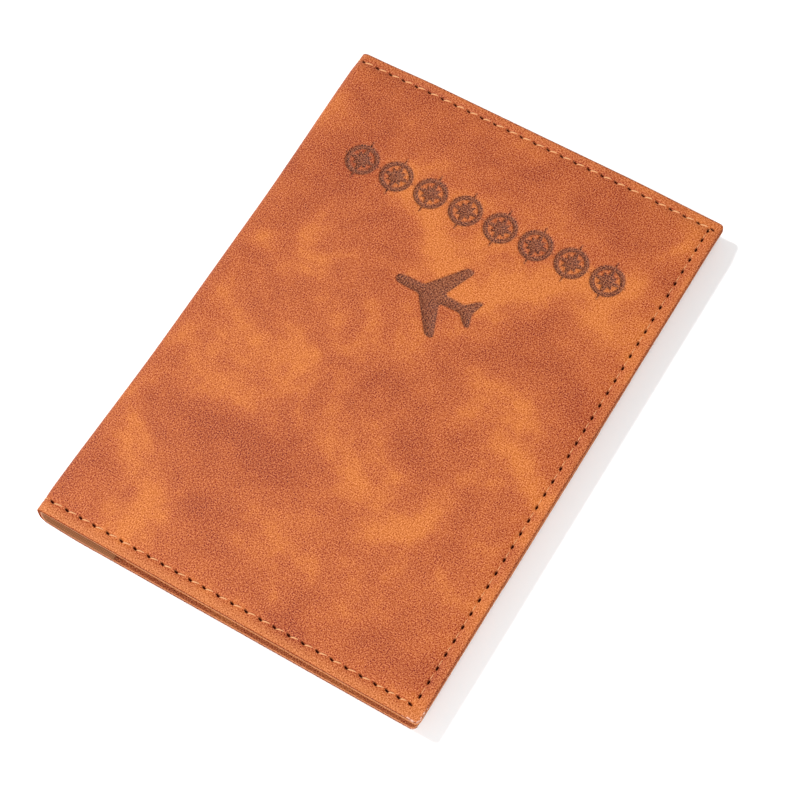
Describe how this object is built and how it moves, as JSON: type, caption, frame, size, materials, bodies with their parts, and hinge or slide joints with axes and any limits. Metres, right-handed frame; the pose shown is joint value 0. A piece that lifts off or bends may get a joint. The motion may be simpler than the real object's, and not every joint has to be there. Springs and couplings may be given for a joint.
{
  "type": "passport holder",
  "caption": "Slim bifold passport holder: a stitched leather cover on a narrow spine, with a full-height sleeve, a slip pocket and stepped card pockets inside.",
  "frame": {"origin": "middle of the closed holder's outline, on the surface that its back cover lies on", "axes": "+X from the spine to the free edges, +Y from the tail to the head, +Z out of the front cover"},
  "size_m": [0.1, 0.142, 0.007],
  "materials": {
    "cover_leather": "buffed nubuck-look leather, cloudy tan and russet, satin",
    "pocket_leather": "thin skived leather of the cover's colour, matt",
    "lining": "brown woven lining, matt",
    "paperboard": "grey-brown paperboard, matt, stands in for paper",
    "thread": "light orange bonded polyester thread, slight sheen"
  },
  "bodies": {
    "back": {"cover_back": "cover_leather", "back_board": "paperboard", "lining_back": "lining", "passport_sleeve": "pocket_leather", "back_needle_thread": "thread", "back_bobbin_thread": "thread"},
    "spine": {"cover_spine": "cover_leather", "lining_spine": "lining", "spine_tail_needle_thread": "thread", "spine_head_needle_thread": "thread", "spine_tail_bobbin_thread": "thread", "spine_head_bobbin_thread": "thread"},
    "front": {"cover_front": "cover_leather", "front_board": "paperboard", "lining_front": "lining", "front_slip_pocket": "pocket_leather", "card_pocket_upper": "pocket_leather", "card_pocket_lower": "pocket_leather", "front_needle_thread": "thread", "front_bobbin_thread": "thread", "card_pocket_thread": "thread"}
  },
  "joints": [
    {"name": "back_crease", "type": "hinge", "parent": "back", "child": "spine", "pos_m": [-0.0495, 0, 0.0005], "axis": [0, -1, 0], "range_deg": [0, 90]},
    {"name": "front_crease", "type": "hinge", "parent": "spine", "child": "front", "pos_m": [-0.0495, 0, 0.0065], "axis": [0, -1, 0], "range_deg": [0, 90]}
  ]
}
